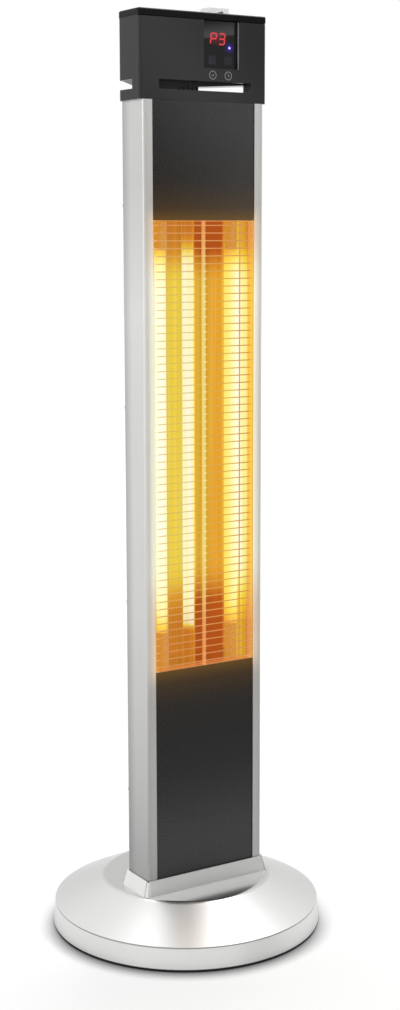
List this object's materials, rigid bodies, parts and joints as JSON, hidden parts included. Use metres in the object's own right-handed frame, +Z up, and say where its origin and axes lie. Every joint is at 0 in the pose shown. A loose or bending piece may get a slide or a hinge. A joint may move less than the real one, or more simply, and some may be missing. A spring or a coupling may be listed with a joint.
{
  "type": "infrared patio heater tower",
  "caption": "Free-standing infrared heater tower: aluminium column with two quartz tubes behind a wire grille, control head on top and a round weighted base.",
  "frame": {"origin": "on the floor in the centre of the round base, on the underside of its rubber edge", "axes": "+Z up along the column, -Y towards the front that the heat leaves by, +X to the right as seen from the front"},
  "size_m": [0.3028, 0.3028, 1.0082],
  "materials": {
    "anodised": "satin anodised",
    "base_steel": "spun stainless steel, fine radial satin on the cone, polished flat top",
    "black_lead": "black sheath",
    "board_green": "solder-resist green",
    "boot_clear": "clear soft PVC",
    "ceramic": "white steatite ceramic",
    "collar_brushed": "brushed along its length",
    "collar_polished": "polished",
    "cover_paint": "fine-textured matt dark grey powder coat",
    "display_red": "lit red digits",
    "fascia_plastic": "smooth satin black",
    "fastener_steel": "zinc plated",
    "filament": "glowing carbon ribbon",
    "gasket_rubber": "matt black",
    "gland_plastic": "black nylon",
    "grille_chrome": "bright wire",
    "head_plastic": "dark grey, semi-matt moulding",
    "lamp_blue": "lit blue-violet lamp",
    "lens_plastic": "smoked, clear, glossy",
    "light_guide": "dim light guide",
    "pad_foam": "conductive foam",
    "panel_paint": "fine-textured matt dark grey powder coat",
    "quartz": "clear quartz",
    "reflector_aluminium": "mirror polished",
    "relay_blue": "blue case",
    "rocker_black": "glossy black",
    "sensor_black": "infrared window",
    "sheet_steel": "zinc plated sheet",
    "silicone_lead": "heat-proof silicone sleeve",
    "switch_black": "black nylon",
    "terminal_plastic": "white",
    "weight_iron": "rough cast, primed"
  },
  "bodies": {
    "tower": {"base_cover": "base_steel", "base_gasket": "gasket_rubber", "base_pan": "sheet_steel", "base_weight": "weight_iron", "board_screws": "fastener_steel", "cable_gland": "gland_plastic", "ceramic_cap_lower_left": "ceramic", "ceramic_cap_lower_right": "ceramic", "ceramic_cap_upper_left": "ceramic", "ceramic_cap_upper_right": "ceramic", "collar_core": "collar_polished", "collar_plate_front": "collar_brushed", "collar_plate_left": "collar_brushed", "collar_plate_rear": "collar_brushed", "collar_plate_right": "collar_brushed", "control_board": "board_green", "control_lead": "black_lead", "display_lens": "lens_plastic", "display_module": "display_red", "element_leads_lower": "silicone_lead", "element_leads_upper": "silicone_lead", "filament_left": "filament", "filament_right": "filament", "foot_bolts": "fastener_steel", "foot_plate": "sheet_steel", "grille": "grille_chrome", "head_casing": "head_plastic", "head_fascia": "fascia_plastic", "head_lid": "head_plastic", "head_mount_plate": "sheet_steel", "head_screws": "fastener_steel", "indicator_lamp": "lamp_blue", "light_field_heat": "light_guide", "light_field_timer": "light_guide", "lower_panel": "panel_paint", "pan_screws": "fastener_steel", "plunger_spring": "fastener_steel", "port_screws": "fastener_steel", "power_relays": "relay_blue", "quartz_tube_left": "quartz", "quartz_tube_right": "quartz", "rear_cover": "cover_paint", "rear_screws": "fastener_steel", "reflector": "reflector_aluminium", "remote_sensor": "sensor_black", "side_profile_left": "anodised", "side_profile_right": "anodised", "supply_lead": "black_lead", "switch_body": "switch_black", "switch_boot": "boot_clear", "terminal_block": "terminal_plastic", "thermal_cutout": "sheet_steel", "tilt_switch_body": "switch_black", "touch_pad_power": "pad_foam", "touch_pad_timer": "pad_foam", "tube_bracket_lower": "sheet_steel", "tube_bracket_upper": "sheet_steel", "upper_panel": "panel_paint"},
    "mains_rocker": {"switch_rocker": "rocker_black"},
    "tilt_foot": {"tilt_plunger": "switch_black"}
  },
  "joints": [
    {"name": "mains_switch_rock", "type": "hinge", "parent": "tower", "child": "mains_rocker", "pos_m": [0.0295, -0.016, 1.0005], "axis": [0, 1, 0], "range_deg": [0, 20]},
    {"name": "tilt_foot_drop", "type": "slide", "parent": "tower", "child": "tilt_foot", "axis": [0, 0, -1], "range_m": [0, 0.004], "stiffness_N_per_m": 60, "springref_m": 0.007, "deforming": ["plunger_spring"]}
  ]
}
